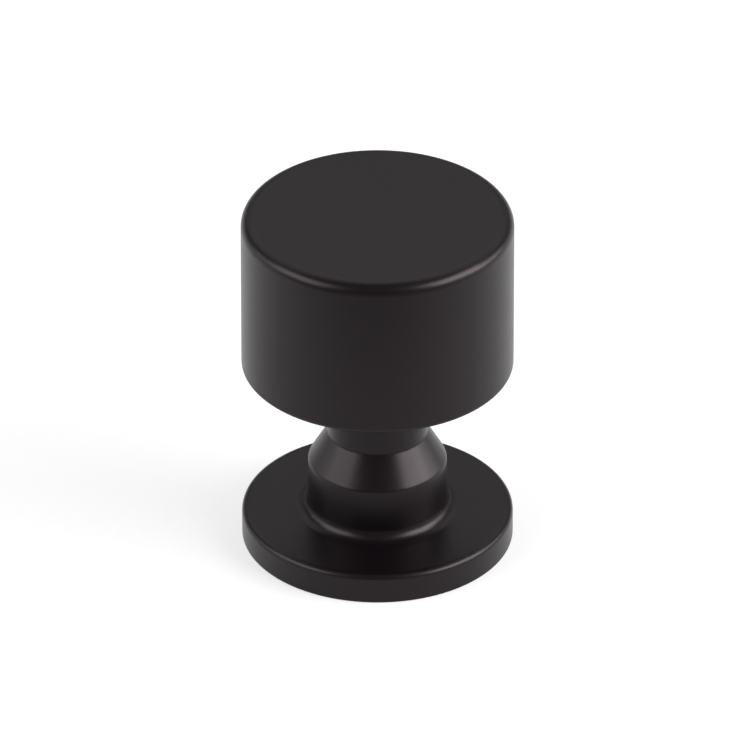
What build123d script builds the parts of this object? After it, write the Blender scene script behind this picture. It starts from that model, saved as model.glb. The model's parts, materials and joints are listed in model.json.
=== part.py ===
"""Cabinet knob made in one piece: a round head on a shouldered stem that stands on a round base plate.

The knob is a body of revolution about Z. Its origin is the centre of the base plate's flat back, which
sits against the cabinet, and +Z points away from the cabinet, towards the head.
"""

import os
from math import radians, tan

from build123d import *

# Driving dimensions, in millimetres and degrees
projection = 34.5  # back of the base to the top of the head

head_diameter = 25.4
head_height = 15.9
head_top_edge = 1.1  # radius round the rim of the top
head_bottom_edge = 0.4

base_diameter = 25.4
base_thickness = 3.0
base_top_edge = 0.6
base_back_edge = 0.2

stem_diameter = 13.0
collar_height = 5.2  # straight wall of the stem above the base
collar_top_edge = 0.8  # radius between the collar's wall and the shoulder
foot_radius = 1.1  # hollow rounding where the collar stands on the base

neck_diameter = 9.4
shoulder_angle = 30.0  # lean of the coned shoulder between collar and neck, from the axis
neck_root_radius = 0.4
neck_top_radius = 0.8

thread_diameter = 4.17  # outside diameter of the fixing screw's 8-32 thread, which is the hole's wall
hole_depth = 12.0  # to the end of the straight wall
drill_point_angle = 118.0
hole_mouth_diameter = 5.0
hole_mouth_angle = 90.0

# Radii and heights that follow from them
head_radius = head_diameter / 2
base_radius = base_diameter / 2
stem_radius = stem_diameter / 2
neck_radius = neck_diameter / 2
hole_radius = thread_diameter / 2
mouth_radius = hole_mouth_diameter / 2

collar_top = base_thickness + collar_height
shoulder_top = collar_top + (stem_radius - neck_radius) / tan(radians(shoulder_angle))
head_bottom = projection - head_height
mouth_depth = (mouth_radius - hole_radius) / tan(radians(hole_mouth_angle / 2))
drill_tip = hole_depth + hole_radius / tan(radians(drill_point_angle / 2))


def round_corner(sketch, corner, radius):
    """Rounds the corner of a sketch that lies at the given point."""
    fillet(sketch.vertices().sort_by_distance(corner)[0], radius=radius)


# Knob
with BuildPart() as knob:
    # Half section, from the back of the base round to the top of the head
    with BuildSketch(Plane.XZ) as half_section:
        with BuildLine():
            Polyline(
                (0, 0),
                (base_radius, 0),
                (base_radius, base_thickness),
                (stem_radius, base_thickness),
                (stem_radius, collar_top),
                (neck_radius, shoulder_top),
                (neck_radius, head_bottom),
                (head_radius, head_bottom),
                (head_radius, projection),
                (0, projection),
                close=True,
            )
        make_face()
        round_corner(half_section, (base_radius, 0), base_back_edge)
        round_corner(half_section, (base_radius, base_thickness), base_top_edge)
        round_corner(half_section, (stem_radius, base_thickness), foot_radius)
        round_corner(half_section, (stem_radius, collar_top), collar_top_edge)
        round_corner(half_section, (neck_radius, shoulder_top), neck_root_radius)
        round_corner(half_section, (neck_radius, head_bottom), neck_top_radius)
        round_corner(half_section, (head_radius, head_bottom), head_bottom_edge)
        round_corner(half_section, (head_radius, projection), head_top_edge)
    revolve(axis=Axis.Z)

    # Blind tapped hole in the back, with a countersunk mouth and a drill point
    with BuildSketch(Plane.XZ):
        with BuildLine():
            Polyline(
                (0, 0),
                (mouth_radius, 0),
                (hole_radius, mouth_depth),
                (hole_radius, hole_depth),
                (0, drill_tip),
                close=True,
            )
        make_face()
    revolve(axis=Axis.Z, mode=Mode.SUBTRACT)

knob.part.label = "knob"

os.makedirs("parts", exist_ok=True)
export_step(knob.part, "parts/knob.step")
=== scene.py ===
"""Studio view of the satin black cabinet knob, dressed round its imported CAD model.

Lengths are in metres, in the CAD frame: the knob stands on its base at the origin and +Z runs up through
its head. The camera stands on the -Y side and looks down on the knob. Angles are in degrees.
"""

import json
import math

import bmesh
import bpy
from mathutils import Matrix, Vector


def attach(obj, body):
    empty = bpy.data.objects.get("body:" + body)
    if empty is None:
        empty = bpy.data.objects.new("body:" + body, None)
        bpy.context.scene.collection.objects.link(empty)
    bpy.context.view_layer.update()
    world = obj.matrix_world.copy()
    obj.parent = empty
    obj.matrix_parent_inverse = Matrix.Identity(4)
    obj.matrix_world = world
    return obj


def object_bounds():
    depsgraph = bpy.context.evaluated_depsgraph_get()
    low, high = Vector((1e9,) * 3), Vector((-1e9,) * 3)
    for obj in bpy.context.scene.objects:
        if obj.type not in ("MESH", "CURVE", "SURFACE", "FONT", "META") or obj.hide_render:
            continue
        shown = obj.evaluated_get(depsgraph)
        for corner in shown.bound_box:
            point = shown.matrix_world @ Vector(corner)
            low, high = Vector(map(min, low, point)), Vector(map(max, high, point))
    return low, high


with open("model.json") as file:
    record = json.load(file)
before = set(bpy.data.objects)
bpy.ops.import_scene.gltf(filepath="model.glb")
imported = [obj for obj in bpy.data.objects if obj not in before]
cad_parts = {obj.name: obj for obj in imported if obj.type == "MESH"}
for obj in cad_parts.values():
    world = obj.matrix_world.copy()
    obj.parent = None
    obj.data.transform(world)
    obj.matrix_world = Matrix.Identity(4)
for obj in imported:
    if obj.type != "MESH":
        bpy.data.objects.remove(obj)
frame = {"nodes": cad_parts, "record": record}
cad_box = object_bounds()

millimetre = 0.001

# Fixing hole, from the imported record
fixing_hole = next(m for m in frame["record"]["mounts"] if m["name"] == "fixing_hole")
hole_radius = fixing_hole["dims"]["r_mm"] * millimetre
hole_length = fixing_hole["dims"]["length_mm"] * millimetre
hole_mouth_radius = 2.5 * millimetre

# Thread of the fixing hole: 32 turns to the inch, 60 degree flanks
thread_pitch = 25.4 / 32 * millimetre
thread_depth = thread_pitch * math.sqrt(3) / 2 * 5 / 8
thread_crest_width = thread_pitch / 4
thread_root_width = thread_pitch * 7 / 8
thread_start = 0.75 * millimetre
thread_turns = 12
thread_steps_per_turn = 48
thread_sunk = 0.02 * millimetre
merge_distance = 0.0001 * millimetre

# Satin black coat: near black with a faint plum tone
coat_pale_tone = (0.0042, 0.0028, 0.0036, 1)
coat_deep_tone = (0.0034, 0.0022, 0.0029, 1)
coat_smoothest = 0.32
coat_roughest = 0.34
coat_specular_level = 0.26
coat_specular_tint = (1, 0.88, 0.94, 1)
coat_edge_fade = 0.06 * millimetre
peel_depth = 0.007 * millimetre
tooth_depth = 0.002 * millimetre

# Bare zinc of the drilled hole and of its thread
bare_zinc_top = hole_length * 1.5
drilled_zinc_tone = (0.46, 0.46, 0.47, 1)
drilled_zinc_roughness = 0.3
thread_dull_tone = (0.40, 0.40, 0.41, 1)
thread_bright_tone = (0.54, 0.54, 0.55, 1)
thread_smoothest = 0.24
thread_roughest = 0.4
cutting_mark_stretch = (1, 1, 14)
cutting_mark_depth = 0.002 * millimetre

# Noise: its usual lowest and highest values, and how much of a bump shows
noise_low = 0.3
noise_high = 0.7
bump_strength = 0.5

# Camera, at the photograph's viewing angle
camera_elevation = 31.77
camera_distance = 1.397
camera_aim = Vector((0, 0, 16.89 * millimetre))
camera_lens = 713.9
camera_sensor_width = 36
camera_clip_start = 0.05
camera_clip_end = 20

# Stage
floor_half_width = 3.0
floor_squares = 8
floor_drop = 0.01 * millimetre
floor_dark_speck = (0.37, 0.37, 0.37, 1)
floor_pale_speck = (0.39, 0.39, 0.39, 1)
white_floor_glow = 0.6
white_floor_start = -46 * millimetre
white_floor_end = -76 * millimetre
room_brightness = 0.25
white = (1, 1, 1, 1)

# Mix node's sockets: two inputs and the result, for numbers and for colours
number_sockets = (2, 3, 0)
colour_sockets = (6, 7, 2)


def new_material(name):
    """An empty node material, with its node tree, its Principled shader and its Object coordinates."""
    material = bpy.data.materials.new(name)
    material.use_nodes = True
    tree = material.node_tree
    tree.nodes.clear()
    output = tree.nodes.new("ShaderNodeOutputMaterial")
    shader = tree.nodes.new("ShaderNodeBsdfPrincipled")
    tree.links.new(shader.outputs["BSDF"], output.inputs["Surface"])
    place = tree.nodes.new("ShaderNodeTexCoord")
    return material, tree, shader, place.outputs["Object"]


def noise(tree, place, scale, detail, roughness=0.5):
    """Noise in solid space; scale counts features per metre."""
    node = tree.nodes.new("ShaderNodeTexNoise")
    node.inputs["Scale"].default_value = scale
    node.inputs["Detail"].default_value = detail
    node.inputs["Roughness"].default_value = roughness
    tree.links.new(place, node.inputs["Vector"])
    return node.outputs["Fac"]


def ranged(tree, value, low, high, to_low, to_high):
    """The value taken smoothly from one range to another."""
    node = tree.nodes.new("ShaderNodeMapRange")
    node.interpolation_type = "SMOOTHSTEP"
    node.inputs["From Min"].default_value = low
    node.inputs["From Max"].default_value = high
    node.inputs["To Min"].default_value = to_low
    node.inputs["To Max"].default_value = to_high
    tree.links.new(value, node.inputs["Value"])
    return node.outputs["Result"]


def combined(tree, operation, first, second):
    """Two values put together by one operation of the Math node."""
    node = tree.nodes.new("ShaderNodeMath")
    node.operation = operation
    tree.links.new(first, node.inputs[0])
    tree.links.new(second, node.inputs[1])
    return node.outputs["Value"]


def blended(tree, data_type, sockets, share, first, second):
    """A value between two others; each is plain or comes from another node."""
    first_socket, second_socket, result_socket = sockets
    node = tree.nodes.new("ShaderNodeMix")
    node.data_type = data_type
    tree.links.new(share, node.inputs["Factor"])
    for socket, value in ((node.inputs[first_socket], first), (node.inputs[second_socket], second)):
        if isinstance(value, bpy.types.NodeSocket):
            tree.links.new(value, socket)
        else:
            socket.default_value = value
    return node.outputs[result_socket]


def blended_colour(tree, share, first, second):
    """A colour between two others."""
    return blended(tree, "RGBA", colour_sockets, share, first, second)


def blended_number(tree, share, first, second):
    """A number between two others."""
    return blended(tree, "FLOAT", number_sockets, share, first, second)


def split_place(tree, place):
    """The node that splits a place into its X, Y and Z."""
    node = tree.nodes.new("ShaderNodeSeparateXYZ")
    tree.links.new(place, node.inputs["Vector"])
    return node


def distance_from_axis(tree, split):
    """How far a split place lies from the knob's axis."""
    flat = tree.nodes.new("ShaderNodeCombineXYZ")
    tree.links.new(split.outputs["X"], flat.inputs["X"])
    tree.links.new(split.outputs["Y"], flat.inputs["Y"])
    length = tree.nodes.new("ShaderNodeVectorMath")
    length.operation = "LENGTH"
    tree.links.new(flat.outputs["Vector"], length.inputs[0])
    return length.outputs["Value"]


def bump(tree, height, depth, under=None):
    """A bump whose highest point stands the given depth above its lowest."""
    node = tree.nodes.new("ShaderNodeBump")
    node.inputs["Strength"].default_value = bump_strength
    node.inputs["Distance"].default_value = depth
    tree.links.new(height, node.inputs["Height"])
    if under is not None:
        tree.links.new(under, node.inputs["Normal"])
    return node.outputs["Normal"]


def satin_black_coat():
    """Satin black coat over zinc, which is bare where the fixing hole was cut after coating."""
    material, tree, shader, place = new_material("satin_black_coat")

    # Coat, a little uneven in tone and in gloss
    cloud = noise(tree, place, scale=160, detail=3)
    coat_colour = blended_colour(tree, cloud, coat_pale_tone, coat_deep_tone)
    patch = noise(tree, place, scale=420, detail=4)
    coat_roughness = ranged(tree, patch, noise_low, noise_high, coat_smoothest, coat_roughest)

    # Bare metal inside the mouth of the hole
    split = split_place(tree, place)
    from_axis = distance_from_axis(tree, split)
    near_axis = ranged(tree, from_axis, hole_mouth_radius - coat_edge_fade, hole_mouth_radius, 1, 0)
    low_down = ranged(tree, split.outputs["Z"], hole_length, bare_zinc_top, 1, 0)
    bare = combined(tree, "MULTIPLY", near_axis, low_down)

    colour = blended_colour(tree, bare, coat_colour, drilled_zinc_tone)
    roughness = blended_number(tree, bare, coat_roughness, drilled_zinc_roughness)
    tree.links.new(colour, shader.inputs["Base Color"])
    tree.links.new(roughness, shader.inputs["Roughness"])
    tree.links.new(bare, shader.inputs["Metallic"])
    shader.inputs["Specular IOR Level"].default_value = coat_specular_level
    shader.inputs["Specular Tint"].default_value = coat_specular_tint

    # Fine tooth of the coat over a faint orange peel
    peel = noise(tree, place, scale=1600, detail=2)
    tooth = noise(tree, place, scale=5200, detail=2, roughness=0.6)
    peel_normal = bump(tree, peel, peel_depth)
    tooth_normal = bump(tree, tooth, tooth_depth, under=peel_normal)
    tree.links.new(tooth_normal, shader.inputs["Normal"])
    return material


def bare_zinc_thread():
    """Freshly tapped zinc: bright, with fine cutting marks round the thread."""
    material, tree, shader, place = new_material("bare_zinc_thread")
    stretch = tree.nodes.new("ShaderNodeMapping")
    stretch.inputs["Scale"].default_value = cutting_mark_stretch
    tree.links.new(place, stretch.inputs["Vector"])
    marks = noise(tree, stretch.outputs["Vector"], scale=1500, detail=3, roughness=0.6)
    colour = blended_colour(tree, marks, thread_dull_tone, thread_bright_tone)
    roughness = ranged(tree, marks, noise_low, noise_high, thread_smoothest, thread_roughest)
    tree.links.new(colour, shader.inputs["Base Color"])
    tree.links.new(roughness, shader.inputs["Roughness"])
    shader.inputs["Metallic"].default_value = 1
    normal = bump(tree, marks, cutting_mark_depth)
    tree.links.new(normal, shader.inputs["Normal"])
    return material


def pale_floor_finish():
    """Matt pale floor, shown white round the knob, that still takes the knob's shadow."""
    material, tree, shader, place = new_material("pale_floor")
    speckle = noise(tree, place, scale=900, detail=2)
    colour = blended_colour(tree, speckle, floor_dark_speck, floor_pale_speck)
    tree.links.new(colour, shader.inputs["Base Color"])
    shader.inputs["Roughness"].default_value = 1
    shader.inputs["Specular IOR Level"].default_value = 0
    shader.inputs["Emission Color"].default_value = white

    # Seen, mirrored or looked at through glass, the floor shows white, fading out in front of the picture
    split = split_place(tree, place)
    whiteness = ranged(tree, split.outputs["Y"], white_floor_end, white_floor_start, 0, white_floor_glow)
    path = tree.nodes.new("ShaderNodeLightPath")
    seen = combined(tree, "MAXIMUM", path.outputs["Is Camera Ray"], path.outputs["Is Glossy Ray"])
    shown = combined(tree, "MAXIMUM", seen, path.outputs["Is Transmission Ray"])
    glow = combined(tree, "MULTIPLY", shown, whiteness)
    tree.links.new(glow, shader.inputs["Emission Strength"])
    return material


def new_object(name, bm):
    """The finished bmesh as an object of the scene."""
    mesh = bpy.data.meshes.new(name)
    bm.to_mesh(mesh)
    bm.free()
    made = bpy.data.objects.new(name, mesh)
    bpy.context.scene.collection.objects.link(made)
    return made


def make_fixing_thread():
    """Right-hand ridge wound up the wall of the fixing hole, fading out at both ends."""
    crest = hole_radius - thread_depth
    root = hole_radius + thread_sunk
    half_root = thread_root_width / 2
    half_crest = thread_crest_width / 2
    bm = bmesh.new()
    corners = [
        bm.verts.new((root, 0, thread_start - half_root)),
        bm.verts.new((crest, 0, thread_start - half_crest)),
        bm.verts.new((crest, 0, thread_start + half_crest)),
        bm.verts.new((root, 0, thread_start + half_root)),
    ]
    section = bm.faces.new(corners)
    bmesh.ops.spin(
        bm,
        geom=[section],
        cent=(0, 0, 0),
        axis=(0, 0, 1),
        dvec=(0, 0, thread_pitch / thread_steps_per_turn),
        angle=math.tau * thread_turns,
        steps=thread_steps_per_turn * thread_turns,
    )
    bmesh.ops.remove_doubles(bm, verts=bm.verts, dist=merge_distance)
    bmesh.ops.recalc_face_normals(bm, faces=bm.faces)

    # The crest sinks into the wall over the first and the last turn
    thread_end = thread_start + thread_pitch * thread_turns
    for vertex in bm.verts:
        outward = Vector((vertex.co.x, vertex.co.y, 0))
        from_end = min(vertex.co.z - thread_start, thread_end - vertex.co.z)
        share = min(max(from_end / thread_pitch, 0), 1)
        if outward.length < hole_radius:
            wanted = root - (root - crest) * share
            vertex.co += outward.normalized() * (wanted - outward.length)

    return new_object("fixing_thread", bm)


def make_floor():
    """Pale floor under the knob."""
    bm = bmesh.new()
    bmesh.ops.create_grid(bm, x_segments=floor_squares, y_segments=floor_squares, size=floor_half_width)
    bmesh.ops.translate(bm, verts=bm.verts, vec=(0, 0, cad_box[0].z - floor_drop))
    return new_object("floor", bm)


def stand_facing_knob(item, azimuth, elevation, distance):
    """Puts a lamp or the camera round the knob; azimuth 0 is the camera's side and 90 its right."""
    turn = math.radians(azimuth)
    rise = math.radians(elevation)
    level = math.cos(rise)
    towards = Vector((math.sin(turn) * level, -math.cos(turn) * level, math.sin(rise)))
    item.location = camera_aim + towards * distance
    item.rotation_euler = towards.to_track_quat("Z", "Y").to_euler()
    bpy.context.scene.collection.objects.link(item)


def soft_box(name, azimuth, elevation, distance, width, height, brightness):
    """Rectangular lamp facing the knob; a brightness of 1 is as bright as white paper."""
    lamp = bpy.data.lights.new(name, "AREA")
    lamp.shape = "RECTANGLE"
    lamp.size = width
    lamp.size_y = height
    lamp.energy = brightness * math.pi * width * height
    box = bpy.data.objects.new(name, lamp)
    box.visible_camera = False
    stand_facing_knob(box, azimuth, elevation, distance)


def light_the_studio():
    """A soft box and a low strip on each side, a pale reflector behind, and a dim room."""
    soft_box(
        "left_soft_box", azimuth=-69, elevation=30, distance=1.2, width=1.0, height=0.72, brightness=4.4
    )
    soft_box(
        "right_soft_box", azimuth=71, elevation=30, distance=1.2, width=1.0, height=0.72, brightness=8.5
    )
    soft_box(
        "left_low_strip", azimuth=-98, elevation=12, distance=1.2, width=0.85, height=0.36, brightness=1.9
    )
    soft_box(
        "right_low_strip", azimuth=98, elevation=12, distance=1.2, width=0.85, height=0.36, brightness=4.6
    )
    soft_box(
        "back_reflector", azimuth=180, elevation=54, distance=1.4, width=2.4, height=1.2, brightness=0.8
    )
    world = bpy.data.worlds.new("studio_room")
    world.use_nodes = True
    background = world.node_tree.nodes["Background"]
    background.inputs["Color"].default_value = white
    background.inputs["Strength"].default_value = room_brightness
    bpy.context.scene.world = world


def make_camera():
    """Camera at the photograph's viewing angle."""
    lens = bpy.data.cameras.new("camera")
    lens.lens = camera_lens
    lens.sensor_width = camera_sensor_width
    lens.clip_start = camera_clip_start
    lens.clip_end = camera_clip_end
    camera = bpy.data.objects.new("camera", lens)
    stand_facing_knob(camera, 0, camera_elevation, camera_distance)
    bpy.context.scene.camera = camera


# Knob
knob = frame["nodes"]["knob"]
coat = satin_black_coat()
for slot in knob.material_slots:
    slot.material = coat

thread = make_fixing_thread()
thread.data.materials.append(bare_zinc_thread())
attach(thread, "root")

# Stage, light and camera
floor = make_floor()
floor.data.materials.append(pale_floor_finish())
light_the_studio()
make_camera()
bpy.context.scene.view_settings.view_transform = "Standard"
